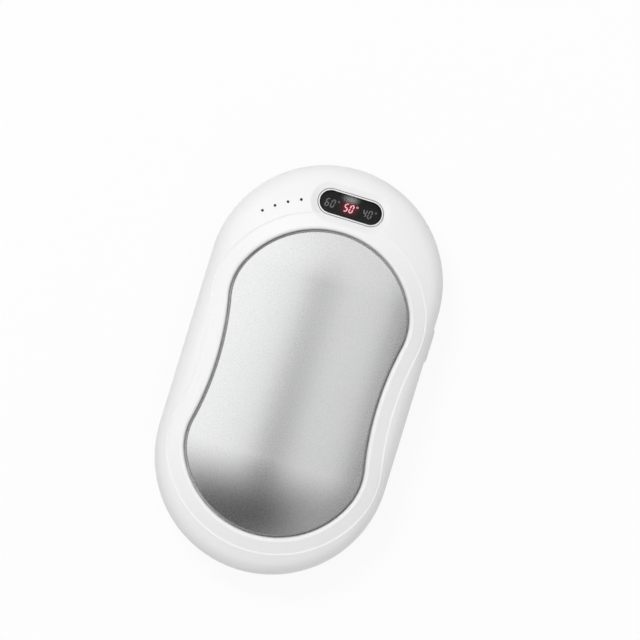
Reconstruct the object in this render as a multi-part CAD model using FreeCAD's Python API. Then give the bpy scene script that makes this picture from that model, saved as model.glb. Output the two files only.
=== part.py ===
import FreeCAD, Part
import functools
import math
import os

Vec = FreeCAD.Vector

# Body: a stadium in plan and a pebble in section, parted by a flat seam into two shells.
# X runs across, Y along towards the display, Z up; the rear plate rests on Z = 0.
body_length = 110.0
body_width = 62.0
front_depth = 14.0          # seam to the crown of the front shell
rear_depth = 12.5           # seam to the flat of the rear shell
edge_radius = 7.0           # rounding between crown and side wall
edge_wall = 1.0             # upright side wall above and below the seam
rear_flat_inset = 16.0      # side of the body to the flat of the back
wall = 2.2
seam_bevel = 0.3
lip_thickness = 1.0
lip_height = 1.2
lip_clearance = 0.1
overrun = 5.0               # how far cutting shapes pass the face they cut
touch = 0.01                # how near a point counts as lying on a face

# Plate openings: a waisted outline of tangent arcs, the same on both faces
top_land = 17.5             # display end of the body to the opening
bottom_land = 10.65
side_land = 7.05
waist_depth = 2.05
lobe_radius = 16.0
end_extra_radius = 0.85     # how much flatter the end arcs are than a half circle
front_rim_radius = 0.9
rear_rim_radius = 0.5

# Land round the front plate, sunk below the outer skin with a soft step
crease_offset = 4.4
crease_step = 0.25
crease_slope = 0.45
crease_drop_share = 0.8

# Heat plates and what is bonded behind them
plate_gap = 0.4
plate_thickness = 1.0
plate_edge_radius = 0.35
front_plate_sink = 0.4      # below the land
rear_plate_proud = 0.3
adhesive_thickness = 0.2
adhesive_margin = 0.8
shelf_thickness = 1.2
shelf_width = 7.0
seat_margin = 1.5
heater_thickness = 0.3
heater_clearance = 0.4
rear_pad_thickness = 1.2
pad_clearance = 0.8
pad_short = 8.0             # room left free at the display end for the heater leads

# Cells and cradle
cell_side_room = 12.2       # side of the body to the cells
cell_front_room = 4.8       # crown of the front shell to the cells
cell_gap = 0.8
cell_edge_radius = 0.7
cell_groove_depth = 0.4
cell_groove_width = 1.4
cell_groove_from_end = 3.6
cell_clearance = 0.15
cradle_floor = 0.9
cradle_wall = 1.4
cradle_inset = 5.6          # cradle ends behind the ends of the cells
cradle_drop = 1.5           # cradle walls stop this far below the cell axis
cradle_slot_width = 6.0
cradle_slot_count = 4
seat_gap = 0.05
strap_thickness = 0.2
strap_width = 3.6
strap_end_margin = 4.5

# Screws and bosses
boss_diameter = 6.0
boss_inset = 3.0            # inside the end of the plate opening, on its shelf
boss_gap = 0.8              # between the strap and the boss
top_boss_x = 7.5
bottom_boss_x = 8.5
screw_diameter = 2.0
screw_length = 11.0
screw_head_diameter = 3.8
screw_head_height = 1.4
screw_seat_drop = 3.6       # seat of the head below the seam
screw_clearance = 0.15
pilot_clearance = 0.02
pilot_extra = 0.6
drive_width = 0.5
drive_length = 2.2
drive_depth = 0.7

# Charging socket, standard receptacle sizes
port_width = 8.94
port_height = 3.26
port_depth = 7.35
port_wall = 0.3
port_sink = 0.4             # mouth below the end of the body
port_clearance = 0.15
port_back = 1.0
tongue_width = 6.7
tongue_thickness = 0.7
tongue_length = 4.6

# Board
board_thickness = 1.2
board_inset = 4.2
board_edge_gap = 0.6
leg_gap = 0.5
leg_margin = 2.0
board_hole_clearance = 0.2
controller_size = 5.0
controller_height = 0.9
controller_from_side = 17.0
inductor_size = 6.0
inductor_height = 2.8
inductor_from_side = 16.0
inductor_radius = 1.0
capacitor_length = 2.0
capacitor_width = 1.25
capacitor_height = 0.9
capacitor_pitch = 3.0
capacitor_count = 4
capacitor_gap = 0.5
component_gap = 0.2         # between the bosses and the row of components

# Display: a pill-shaped dish, bezel, window and light box that follow the skin
display_from_end = 10.37
window_length = 16.7
window_height = 5.9
window_clearance = 0.04
window_thickness = 1.0
window_sink = 0.05          # below the bezel's face
bezel_width = 0.5
bezel_gap = 0.12
bezel_proud = 0.1
bezel_ledge = 0.4
bezel_flange = 1.2
bezel_flange_thickness = 0.8
dish_floor = 0.2            # from the bezel to the foot of the slope
dish_depth = 0.3
dish_slope = 1.7
dish_drop_share = 0.9       # height of the slope as a share of the depth
digit_height = 2.3
digit_width = 1.1
digit_pitch = 1.45
digit_stroke = 0.32
digit_slant = 0.4           # sideways lean over the digit's height
segment_gap = 0.06
degree_size = 0.55
degree_gap = 0.45
group_pitch = 5.05
reading_drop = 0.5          # from the window's middle towards the plate
reading_shift = 0.25        # and towards the right
segment_thickness = 0.15
segment_sink = 0.1          # below the window
module_clearance = 0.1

# Battery lights: four pins on an arc round the opening's end
light_diameter = 0.7
light_clearance = 0.02
light_offset = 8.02         # outside the opening's end arc
light_first_angle = 23.26
light_step_angle = 6.14
light_count = 4
light_sink = 0.08
light_bar_width = 1.8
light_bar_thickness = 1.2
light_bar_overhang_angle = 2.5
light_bar_clearance = 0.1
led_length = 1.6
led_width = 0.8
led_height = 0.6
led_gap = 0.3

# Power button in the side wall and its switch
button_from_end = 39.0
button_length = 9.0
button_height = 3.6
button_proud = 0.4
button_edge_radius = 0.35
button_clearance = 0.08
button_flange_margin = 0.8
button_flange_thickness = 1.0
button_post_diameter = 2.6
button_post_length = 0.8
button_travel = 0.4
switch_length = 6.0
switch_depth = 3.4
plunger_diameter = 1.8
plunger_reach = 1.1
plunger_seat = 1.0
plunger_clearance = 0.08
plunger_bottom_gap = 0.3

# Leads and sensor
lead_diameter = 1.2
lead_bend = 3.2
short_lead_bend = 1.6
lead_start = 1.5
lead_spacing = 3.6
sensor_diameter = 1.9
sensor_lead_diameter = 0.9
sensor_spacing = 3.5

# Worked out from the sizes above
half_width = body_width / 2
half_length = body_length / 2
end_centre = half_length - half_width
seam_z = rear_depth + rear_plate_proud
edge_x = half_width - edge_radius
front_rise = front_depth - edge_wall
rear_rise = rear_depth - edge_wall
crown_radius = (edge_x ** 2 + front_rise ** 2 - edge_radius ** 2) / (2 * (front_rise - edge_radius))
crown_z = seam_z + front_depth - crown_radius
flat_x = half_width - rear_flat_inset
blend_x = edge_x - flat_x
blend_radius = (blend_x ** 2 + rear_rise ** 2 - edge_radius ** 2) / (2 * (rear_rise - edge_radius))
blend_z = seam_z - rear_depth + blend_radius
total_height = seam_z + front_depth

opening_half = (body_length - top_land - bottom_land) / 2
opening_y = (bottom_land - top_land) / 2
lobe_half = half_width - side_land
waist_half = lobe_half - waist_depth
end_arc = lobe_half + end_extra_radius
lobe_x = lobe_half - lobe_radius
lobe_y = opening_half - end_arc + math.sqrt((end_arc - lobe_radius) ** 2 - lobe_x ** 2)
waist_reach = waist_half - lobe_x
waist_radius = (waist_reach ** 2 + lobe_y ** 2 - lobe_radius ** 2) / (2 * waist_depth)

front_plate_top = crease_step + front_plate_sink
front_plate_back = front_plate_top + plate_thickness
rear_plate_top = -rear_plate_proud
rear_plate_back = rear_plate_top + plate_thickness

front_seat = front_plate_back + adhesive_thickness
rear_seat = rear_plate_back + adhesive_thickness

# Bosses stand on the shelf inside the opening's end arcs
end_arc_y = opening_half - end_arc
boss_reach = end_arc - boss_inset
top_boss_y = opening_y + end_arc_y + math.sqrt(boss_reach ** 2 - top_boss_x ** 2)
bottom_boss_y = opening_y - end_arc_y - math.sqrt(boss_reach ** 2 - bottom_boss_x ** 2)
boss_places = [(x, top_boss_y) for x in (-top_boss_x, top_boss_x)]
boss_places += [(x, bottom_boss_y) for x in (-bottom_boss_x, bottom_boss_x)]

# Cells fill the room between the bosses, side walls and pads
boss_to_cell = boss_diameter / 2 + boss_gap + strap_thickness
cell_top_y = top_boss_y - boss_to_cell
cell_bottom_y = bottom_boss_y + boss_to_cell
cell_length = cell_top_y - cell_bottom_y
cell_y = (cell_top_y + cell_bottom_y) / 2
rear_pad_back = rear_plate_back + heater_thickness + rear_pad_thickness
cradle_base = max(rear_pad_back, wall, rear_seat + shelf_thickness) + seat_gap
cell_bed = rear_plate_proud + cradle_base + cradle_floor + cell_clearance
cell_room_across = half_width - cell_side_room - cell_gap / 2
cell_room_up = total_height - cell_front_room - cell_bed
cell_diameter = min(cell_room_across, cell_room_up)
cell_radius = cell_diameter / 2
cell_x = cell_radius + cell_gap / 2
cell_z = cell_bed + cell_radius
cell_crest = cell_z + cell_radius + cell_clearance
front_pad_back = crown_radius - math.hypot(cell_crest - crown_z, cell_x)
cradle_half_width = cell_x + cell_radius + cell_clearance + cradle_wall
cradle_length = cell_length - 2 * cradle_inset

board_z = seam_z + port_height / 2
board_top = board_z + board_thickness
board_edge = cell_top_y + strap_thickness + board_edge_gap
screw_seat_z = seam_z - screw_seat_drop
screw_tip_z = screw_seat_z + screw_length
controller_x = half_width - controller_from_side
inductor_x = inductor_from_side - half_width
component_y = top_boss_y + boss_diameter / 2 + component_gap + max(controller_size, inductor_size) / 2

display_y = half_length - display_from_end
reading_y = display_y - reading_drop
bezel_top = dish_depth - bezel_proud
window_top = bezel_top + window_sink
window_back = window_top + window_thickness
segment_top = window_back + segment_sink
module_top = segment_top + segment_thickness
flange_back = wall + seat_gap + bezel_flange_thickness

button_y = half_length - button_from_end
flange_height = button_height + 2 * button_flange_margin
inner_edge_radius = edge_radius - wall
flange_reach = math.sqrt(inner_edge_radius ** 2 - (flange_height / 2 - edge_wall) ** 2)
flange_x = edge_x + flange_reach - button_clearance
flange_back_x = flange_x - button_flange_thickness
post_x = flange_back_x - button_post_length
switch_x = post_x - plunger_reach

heater_end_y = opening_y + opening_half - shelf_width - heater_clearance
lead_y = board_edge + lead_diameter / 2 - lead_bend - lead_start


def plan(a, b):
    return Vec(a, b, 0)


def section(a, b):
    return Vec(a, 0, b)


def arc(place, centre, radius, start, end):
    points = []
    for angle in (start, (start + end) / 2, end):
        points.append(place(centre[0] + radius * math.cos(angle), centre[1] + radius * math.sin(angle)))
    return Part.Arc(*points).toShape()


def chain(place, points):
    return [Part.makeLine(place(*a), place(*b)) for a, b in zip(points, points[1:])]


def face_of(edges):
    return Part.Face(Part.Wire(edges))


def one_solid(shape):
    return shape.removeSplitter().Solids[0]


# Half sections of the two skins, moved inwards by an inset along the normal
def front_profile(inset, bevel):
    side = half_width - inset
    edge = (edge_x, seam_z + edge_wall)
    turn = math.atan2(edge[1] - crown_z, edge_x)
    crown = arc(section, (0, crown_z), crown_radius - inset, math.pi / 2, turn)
    corner = arc(section, edge, edge_radius - inset, turn, 0)
    walls = [(side, edge[1]), (side, seam_z + bevel), (side - bevel, seam_z), (0, seam_z)]
    if bevel == 0:
        walls.pop(1)
    walls.append((0, crown_z + crown_radius - inset))
    return face_of([crown, corner] + chain(section, walls))


def rear_profile(inset, bevel):
    side = half_width - inset
    floor = seam_z - rear_depth + inset
    edge = (edge_x, seam_z - edge_wall)
    turn = math.atan2(edge[1] - blend_z, blend_x)
    blend = arc(section, (flat_x, blend_z), blend_radius - inset, -math.pi / 2, turn)
    corner = arc(section, edge, edge_radius - inset, turn, 0)
    walls = [(side, edge[1]), (side, seam_z - bevel), (side - bevel, seam_z), (0, seam_z)]
    if bevel == 0:
        walls.pop(1)
    walls += [(0, floor), (flat_x, floor)]
    return face_of([blend, corner] + chain(section, walls))


# The half section runs straight along the middle and turns about each end's centre
def pillow(profile):
    straight = Vec(0, 2 * end_centre, 0)
    axis = Vec(0, 0, 1)
    halves = [profile, profile.mirror(Vec(0, 0, 0), Vec(1, 0, 0))]
    solids = []
    for half in halves:
        bar = half.extrude(straight)
        bar.translate(Vec(0, -end_centre, 0))
        solids.append(bar)
    for turn in (0, 180):
        end = profile.revolve(Vec(0, 0, 0), axis, 180)
        end.translate(Vec(0, end_centre, 0))
        end.rotate(Vec(0, 0, 0), axis, turn)
        solids.append(end)
    return one_solid(solids[0].multiFuse(solids[1:]))


@functools.lru_cache(maxsize=None)
def front_skin(inset, bevel=0):
    return pillow(front_profile(inset, bevel))


@functools.lru_cache(maxsize=None)
def rear_skin(inset, bevel=0):
    return pillow(rear_profile(inset, bevel))


# Outlines in plan
def opening(offset):
    end = (0, end_arc_y)
    far = waist_half + waist_radius
    end_turn = math.atan2(lobe_y - end[1], lobe_x)
    waist_turn = math.atan2(lobe_y, far - lobe_x)
    lobe = (lobe_x, lobe_y)
    corner = arc(plan, lobe, lobe_radius + offset, -waist_turn, end_turn)
    cap = arc(plan, end, end_arc + offset, end_turn, math.pi - end_turn)
    waist = arc(plan, (far, 0), waist_radius - offset, math.pi - waist_turn, math.pi + waist_turn)
    across = Vec(1, 0, 0)
    along = Vec(0, 1, 0)
    zero = Vec(0, 0, 0)
    edges = [cap, cap.mirror(zero, along), waist, waist.mirror(zero, across), corner]
    edges += [corner.mirror(zero, across), corner.mirror(zero, along)]
    edges.append(corner.mirror(zero, across).mirror(zero, along))
    face = face_of(Part.__sortEdges__(edges))
    face.translate(Vec(0, opening_y, 0))
    return face


def slot(place, length, height):
    straight = (length - height) / 2
    radius = height / 2
    right = arc(place, (straight, 0), radius, -math.pi / 2, math.pi / 2)
    left = arc(place, (-straight, 0), radius, math.pi / 2, 3 * math.pi / 2)
    top = chain(place, [(straight, radius), (-straight, radius)])
    bottom = chain(place, [(-straight, -radius), (straight, -radius)])
    return face_of([right] + top + [left] + bottom)


def stadium(inset):
    face = slot(plan, body_length - 2 * inset, body_width - 2 * inset)
    face.rotate(Vec(0, 0, 0), Vec(0, 0, 1), 90)
    return face


def display_slot(margin):
    face = slot(plan, window_length + 2 * margin, window_height + 2 * margin)
    face.translate(Vec(0, display_y, 0))
    return face


def column(face, bottom=-overrun, top=total_height + overrun):
    solid = face.extrude(Vec(0, 0, top - bottom))
    solid.translate(Vec(0, 0, bottom))
    return solid


def post(x, y, diameter, bottom, top):
    return Part.makeCylinder(diameter / 2, top - bottom, Vec(x, y, bottom))


def block(width, length, height, x, y, bottom):
    return Part.makeBox(width, length, height, Vec(x - width / 2, y - length / 2, bottom))


# What lies inside an outline between two insets of a skin
def layer(skin, face, outer, inner):
    return column(face).common(skin(outer)).cut(skin(inner))


def edges_on(solid, face, skin):
    outline = face.OuterWire
    surface = skin.Shells[0]
    found = []
    for edge in solid.Edges:
        first, last = edge.ParameterRange
        near = True
        for share in (0.1, 0.5, 0.9):
            point = edge.valueAt(first + (last - first) * share)
            in_plan = outline.distToShape(Part.Vertex(point.x, point.y, 0))[0]
            near = near and in_plan < touch and surface.distToShape(Part.Vertex(point))[0] < touch
        if near:
            found.append(edge)
    return found


# Cuts that both shells share
def port_cut():
    face = slot(section, port_width + 2 * port_clearance, port_height + 2 * port_clearance)
    solid = face.extrude(Vec(0, port_depth + overrun, 0))
    solid.translate(Vec(0, half_length - port_depth, seam_z))
    return solid


def side_slot(length, height, inner, outer):
    face = slot(lambda a, b: Vec(0, a, b), length, height)
    solid = face.extrude(Vec(outer - inner, 0, 0))
    solid.translate(Vec(inner, button_y, seam_z))
    return solid


def button_cut():
    grown = 2 * button_clearance
    return side_slot(button_length + grown, button_height + grown, flange_x, half_width + overrun)


def cell_bores():
    radius = cell_radius + cell_clearance
    length = cell_length + 2 * strap_thickness
    start_y = cell_bottom_y - strap_thickness
    starts = [Vec(x, start_y, cell_z) for x in (-cell_x, cell_x)]
    return [Part.makeCylinder(radius, length, start, Vec(0, 1, 0)) for start in starts]


def light_places():
    middle = opening_y + end_arc_y
    reach = end_arc + light_offset
    places = []
    for number in range(light_count):
        angle = math.radians(light_first_angle + number * light_step_angle)
        places.append((-reach * math.sin(angle), middle + reach * math.cos(angle)))
    return places


# Front shell: creased land, plate pocket on a shelf, display dish, light holes and bosses
def dish():
    skin = front_skin(0)
    floor = display_slot(bezel_width + dish_floor)
    sunk = one_solid(skin.cut(layer(front_skin, floor, -overrun, dish_depth)))
    rim = edges_on(sunk, floor, skin)
    return skin.cut(sunk.makeChamfer(dish_slope, dish_depth * dish_drop_share, rim))


def front_hollow():
    thick = column(opening(seat_margin)).cut(front_skin(front_seat + shelf_thickness))
    return front_skin(wall).cut(thick)


def front_bosses():
    inside = front_skin(front_seat + shelf_thickness / 2)
    bosses = []
    for x, y in boss_places:
        foot = board_top if y > 0 else seam_z
        bosses.append(post(x, y, boss_diameter, foot, total_height).common(inside))
    return bosses


def front_shell():
    solid = front_skin(0, seam_bevel)
    land = opening(crease_offset)
    solid = one_solid(solid.cut(column(land).cut(front_skin(crease_step))))
    crease = edges_on(solid, land, front_skin(0))
    solid = solid.makeChamfer(crease_slope, crease_step * crease_drop_share, crease)
    solid = solid.cut(dish())
    solid = one_solid(solid.cut(column(opening(0)).cut(front_skin(front_seat))))
    rim = edges_on(solid, opening(0), front_skin(crease_step))
    solid = solid.makeFillet(front_rim_radius, rim)
    solid = solid.cut(front_hollow()).cut(column(opening(-shelf_width)))
    solid = solid.multiFuse(front_bosses())
    rebate_face = stadium(wall - lip_thickness - lip_clearance)
    rebate = column(rebate_face, seam_z, seam_z + lip_height + lip_clearance)
    cuts = [rebate, port_cut(), button_cut(), column(display_slot(bezel_width + bezel_gap), seam_z)]
    cuts += cell_bores()
    for x, y in boss_places:
        cuts.append(post(x, y, screw_diameter + 2 * pilot_clearance, seam_z, screw_tip_z + pilot_extra))
    for x, y in light_places():
        cuts.append(post(x, y, light_diameter + 2 * light_clearance, seam_z, total_height))
    return one_solid(solid.cut(cuts))


# Rear shell: flat-backed, with the same plate opening, a locating lip and screw bosses
def rear_hollow():
    thick = column(opening(seat_margin)).cut(rear_skin(rear_seat + shelf_thickness))
    return rear_skin(wall).cut(thick)


def rear_bosses():
    inside = rear_skin(rear_seat + shelf_thickness / 2)
    bosses = []
    for x, y in boss_places:
        head = board_z if y > 0 else seam_z
        bosses.append(post(x, y, boss_diameter, 0, seam_z).common(inside))
        bosses.append(post(x, y, boss_diameter, screw_seat_z, head))
    return bosses


def lip():
    ring = stadium(wall - lip_thickness).cut(stadium(wall))
    return column(ring, seam_z - wall, seam_z + lip_height)


def rear_shell():
    solid = rear_skin(0, seam_bevel)
    solid = one_solid(solid.cut(column(opening(0)).cut(rear_skin(rear_seat))))
    solid = solid.makeFillet(rear_rim_radius, edges_on(solid, opening(0), rear_skin(0)))
    solid = solid.cut(rear_hollow()).cut(column(opening(-shelf_width)))
    solid = solid.multiFuse(rear_bosses() + [lip()])
    cuts = [port_cut(), button_cut()]
    recess_bottom = rear_plate_proud + rear_seat - overrun
    for x, y in boss_places:
        head_hole = screw_head_diameter + 2 * screw_clearance
        cuts.append(post(x, y, screw_diameter + 2 * screw_clearance, screw_seat_z, board_z + overrun))
        cuts.append(post(x, y, head_hole, recess_bottom, screw_seat_z))
    return one_solid(solid.cut(cuts))


# Heat plates, their adhesive rings, heater films and insulation pads
def heat_plate(skin, top, back):
    face = opening(-plate_gap)
    solid = one_solid(layer(skin, face, top, back))
    return solid.makeFillet(plate_edge_radius, edges_on(solid, face, skin(top)))


def adhesive_ring(skin, back):
    ring = opening(-plate_gap - adhesive_margin).cut(opening(-shelf_width + heater_clearance))
    return layer(skin, ring, back, back + adhesive_thickness)


def heater_film(skin, back):
    return layer(skin, opening(-shelf_width - heater_clearance), back, back + heater_thickness)


def insulation_pad(skin, outer, inner):
    face = opening(-shelf_width - pad_clearance)
    corner = Vec(-half_width, heater_end_y - pad_short - body_length, 0)
    keep = Part.makePlane(body_width, body_length, corner)
    return one_solid(layer(skin, face.common(keep), outer, inner).cut(cell_bores()))


# Two cylindrical cells side by side, each with the crimp groove near its positive end
def battery_cell(x):
    groove = cell_radius - cell_groove_depth
    ends = (cell_length - cell_groove_from_end - cell_groove_width, cell_length - cell_groove_from_end)
    outline = [(0, 0), (cell_radius, 0), (cell_radius, ends[0]), (groove, sum(ends) / 2)]
    outline += [(cell_radius, ends[1]), (cell_radius, cell_length), (0, cell_length), (0, 0)]
    solid = face_of(chain(section, outline)).revolve(Vec(0, 0, 0), Vec(0, 0, 1), 360)
    rims = [e for e in solid.Edges if abs(e.BoundBox.ZLength) < touch and e.BoundBox.XLength > 2 * groove]
    rims = [e for e in rims if e.BoundBox.ZMin < touch or e.BoundBox.ZMin > cell_length - touch]
    solid = solid.makeFillet(cell_edge_radius, rims)
    solid.rotate(Vec(0, 0, 0), Vec(1, 0, 0), -90)
    solid.translate(Vec(x, cell_bottom_y, cell_z))
    return solid


def cell_strap(inner_y, outward):
    length = 2 * (cell_x + cell_radius - strap_end_margin)
    solid = slot(section, length, strap_width).extrude(Vec(0, outward * strap_thickness, 0))
    solid.translate(Vec(0, inner_y, cell_z))
    return solid


def battery_cradle():
    top = cell_z - cradle_drop
    solid = block(2 * cradle_half_width, cradle_length, top, 0, cell_y, 0)
    solid = solid.common(rear_skin(cradle_base))
    cuts = cell_bores()
    pitch = cradle_length / (cradle_slot_count + 1)
    for number in range(cradle_slot_count):
        y = cell_y + (number - (cradle_slot_count - 1) / 2) * pitch
        for x in (-cell_x, cell_x):
            cuts.append(block(cell_radius, cradle_slot_width, cell_z, x, y, 0))
    return one_solid(solid.cut(cuts))


# Circuit board: fills the display end, with a leg down one side to the switch
def main_board():
    outline = stadium(board_inset)
    head = Part.makePlane(body_width, half_length, Vec(-half_width, board_edge, 0))
    leg_x = cradle_half_width + leg_gap
    leg_y = button_y - switch_length / 2 - leg_margin
    leg = Part.makePlane(half_width - leg_x, board_edge - leg_y + boss_diameter, Vec(leg_x, leg_y, 0))
    face = outline.common(head).fuse(outline.common(leg)).removeSplitter()
    solid = column(face, board_z, board_top)
    hole = screw_diameter + 2 * board_hole_clearance
    holes = [post(x, y, hole, board_z - overrun, board_top + overrun) for x, y in boss_places[:2]]
    return one_solid(solid.cut(holes))


def charge_controller():
    bottom = board_z - controller_height
    return block(controller_size, controller_size, controller_height, controller_x, component_y, bottom)


def power_inductor():
    bottom = board_z - inductor_height
    solid = block(inductor_size, inductor_size, inductor_height, inductor_x, component_y, bottom)
    upright = [e for e in solid.Edges if e.BoundBox.ZLength > touch]
    return solid.makeFillet(inductor_radius, upright)


def board_capacitors():
    first_x = controller_x + (controller_size - capacitor_width) / 2
    y = component_y + controller_size / 2 + capacitor_gap + capacitor_length / 2
    bottom = board_z - capacitor_height
    solids = []
    for number in range(capacitor_count):
        x = first_x - number * capacitor_pitch
        solids.append(block(capacitor_width, capacitor_length, capacitor_height, x, y, bottom))
    return Part.makeCompound(solids)


def charge_port():
    outer = slot(section, port_width, port_height).extrude(Vec(0, -port_depth, 0))
    inner = slot(section, port_width - 2 * port_wall, port_height - 2 * port_wall)
    solid = outer.cut(inner.extrude(Vec(0, port_back - port_depth, 0)))
    solid.translate(Vec(0, half_length - port_sink, seam_z))
    return solid


def charge_port_tongue():
    y = half_length - port_sink - port_depth + port_back + tongue_length / 2
    bottom = seam_z - tongue_thickness / 2
    return block(tongue_width, tongue_length, tongue_thickness, 0, y, bottom)


# Display stack
def display_bezel():
    outer = display_slot(bezel_width)
    seat = display_slot(-bezel_ledge)
    ring = layer(front_skin, outer.cut(display_slot(window_clearance)), bezel_top, window_back)
    ledge = layer(front_skin, outer.cut(seat), window_back, flange_back)
    flange_face = display_slot(bezel_width + bezel_flange).cut(seat)
    flange = layer(front_skin, flange_face, wall + seat_gap, flange_back)
    return one_solid(ring.multiFuse([ledge, flange]))


def display_window():
    return layer(front_skin, display_slot(0), window_top, window_back)


def display_module():
    face = display_slot(-bezel_ledge - module_clearance)
    return column(face, board_top).common(front_skin(module_top))


# Seven-segment figures; each letter names one bar, from the top round to the middle
figure_bars = {"6": "acdefg", "5": "acdfg", "4": "bcfg", "0": "abcdef"}


def bar_face(start, end, left):
    (x0, y0), (x1, y1) = start, end
    length = math.hypot(x1 - x0, y1 - y0)
    ux, uy = (x1 - x0) / length, (y1 - y0) / length
    half = digit_stroke / 2
    far = length - half
    corners = [(0, 0), (half, half), (far, half), (length, 0), (far, -half), (half, -half), (0, 0)]
    outline = []
    for along, across in corners:
        gap = segment_gap if along < half else -segment_gap if along > far else 0
        x = x0 + ux * (along + gap) - uy * across
        y = y0 + uy * (along + gap) + ux * across
        outline.append((left + x + digit_slant * y / digit_height, reading_y + y))
    return face_of(chain(plan, outline))


def figure_faces(figure, left):
    right = digit_width - digit_stroke
    top = (digit_height - digit_stroke) / 2
    corners = {
        "a": ((0, top), (right, top)),
        "b": ((right, 0), (right, top)),
        "c": ((right, -top), (right, 0)),
        "d": ((0, -top), (right, -top)),
        "e": ((0, -top), (0, 0)),
        "f": ((0, 0), (0, top)),
        "g": ((0, 0), (right, 0)),
    }
    return [bar_face(*corners[bar], left) for bar in figure_bars[figure]]


def reading(text, centre):
    width = digit_pitch + digit_width + degree_gap + degree_size
    left = centre + reading_shift - width / 2
    faces = figure_faces(text[0], left) + figure_faces(text[1], left + digit_pitch)
    mark_x = left + digit_pitch + digit_width + degree_gap
    mark_y = reading_y + digit_height / 2 - degree_size / 2
    centre_point = Vec(mark_x + degree_size / 2, mark_y, 0)
    rings = [Part.Wire(Part.makeCircle(r, centre_point)) for r in (degree_size / 2, degree_size / 4)]
    faces.append(Part.Face(rings[0]).cut(Part.Face(rings[1])))
    return faces


def segments(readings):
    faces = [face for text, centre in readings for face in reading(text, centre)]
    solids = [layer(front_skin, face, segment_top, module_top).Solids[0] for face in faces]
    return Part.makeCompound(solids)


# Battery lights: pins on a bar above four small lamps on the board
def battery_light_guide():
    middle = opening_y + end_arc_y
    bottom = board_top + led_height + led_gap
    reach = end_arc + light_offset
    first = math.radians(90 + light_first_angle - light_bar_overhang_angle)
    last_angle = light_first_angle + (light_count - 1) * light_step_angle + light_bar_overhang_angle
    last = math.radians(90 + last_angle)
    outer = reach + light_bar_width / 2
    inner = reach - light_bar_width / 2
    sides = []
    for angle in (first, last):
        ends = [(r * math.cos(angle), middle + r * math.sin(angle)) for r in (inner, outer)]
        sides += chain(plan, ends)
    arcs = [arc(plan, (0, middle), r, first, last) for r in (inner, outer)]
    face = face_of(Part.__sortEdges__(sides + arcs))
    bar = column(face, bottom, bottom + light_bar_thickness).common(front_skin(wall + light_bar_clearance))
    pins = [post(x, y, light_diameter, bottom, total_height) for x, y in light_places()]
    pins = [pin.common(front_skin(light_sink)) for pin in pins]
    return one_solid(bar.multiFuse(pins))


def battery_leds():
    lamps = [block(led_length, led_width, led_height, x, y, board_top) for x, y in light_places()]
    return Part.makeCompound(lamps)


# Power button, held behind the wall by its flange, and the switch it presses
def power_button():
    cap = side_slot(button_length, button_height, flange_back_x, half_width + button_proud)
    outer = [e for e in cap.Edges if e.BoundBox.XMin > half_width]
    cap = cap.makeFillet(button_edge_radius, outer)
    margin = 2 * button_flange_margin
    flange = side_slot(button_length + margin, flange_height, flange_back_x, flange_x)
    foot = Vec(post_x, button_y, seam_z)
    pin = Part.makeCylinder(button_post_diameter / 2, button_post_length, foot, Vec(1, 0, 0))
    return one_solid(cap.multiFuse([flange, pin]))


def switch_body():
    middle = switch_x - switch_depth / 2
    bottom = board_z - port_height
    solid = block(switch_depth, switch_length, port_height, middle, button_y, bottom)
    depth = plunger_seat + plunger_bottom_gap + button_travel
    start = Vec(switch_x - depth, button_y, seam_z)
    bore = Part.makeCylinder(plunger_diameter / 2 + plunger_clearance, depth + overrun, start, Vec(1, 0, 0))
    return solid.cut(bore)


def switch_plunger():
    start = Vec(switch_x - plunger_seat, button_y, seam_z)
    return Part.makeCylinder(plunger_diameter / 2, plunger_seat + plunger_reach, start, Vec(1, 0, 0))


def case_screws():
    solids = []
    for x, y in boss_places:
        head = post(x, y, screw_head_diameter, screw_seat_z - screw_head_height, screw_seat_z)
        shank = post(x, y, screw_diameter, screw_seat_z, screw_tip_z)
        bottom = screw_seat_z - screw_head_height - drive_depth
        drives = []
        for width, length in ((drive_width, drive_length), (drive_length, drive_width)):
            drives.append(block(width, length, 2 * drive_depth, x, y, bottom))
        solids.append(one_solid(head.fuse(shank).cut(drives)))
    return Part.makeCompound(solids)


# Leads: a straight run, one bend and a straight run to the board
def lead(x, y, z, end_z, diameter, bend, start):
    up = 1 if end_z > z else -1
    run = Part.makeLine(Vec(x, y, z), Vec(x, y + start, z))
    turn = bend * math.sin(math.pi / 4)
    middle = Vec(x, y + start + turn, z + up * (bend - turn))
    corner = Vec(x, y + start + bend, z + up * bend)
    curve = Part.Arc(Vec(x, y + start, z), middle, corner).toShape()
    rise = Part.makeLine(corner, Vec(x, y + start + bend, end_z))
    ring = Part.Wire(Part.makeCircle(diameter / 2, Vec(x, y, z), Vec(0, 1, 0)))
    return Part.Wire([run, curve, rise]).makePipeShell([ring], True, False)


def front_film_z(x, y, diameter):
    across = math.hypot(x, max(y + lead_start - end_centre, 0))
    inner = crown_radius - front_plate_back - heater_thickness
    return crown_z + math.sqrt(inner ** 2 - across ** 2) - diameter / 2 - seat_gap


def front_heater_leads():
    solids = []
    for x in (-lead_spacing / 2, lead_spacing / 2):
        z = front_film_z(x, lead_y, lead_diameter)
        solids.append(lead(x, lead_y, z, board_top, lead_diameter, lead_bend, lead_start))
    return Part.makeCompound(solids)


def rear_heater_leads():
    z = rear_plate_proud + rear_plate_back + heater_thickness + lead_diameter / 2 + seat_gap
    solids = []
    for x in (-lead_spacing / 2, lead_spacing / 2):
        solids.append(lead(x, lead_y, z, board_z, lead_diameter, lead_bend, lead_start))
    return Part.makeCompound(solids)


def heat_sensor():
    x = sensor_spacing
    z = front_film_z(x, lead_y, sensor_diameter)
    bead = Part.makeSphere(sensor_diameter / 2, Vec(x, lead_y, z))
    wire = lead(x, lead_y, z, board_top, sensor_lead_diameter, lead_bend, lead_start)
    return one_solid(bead.fuse(wire))


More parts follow.
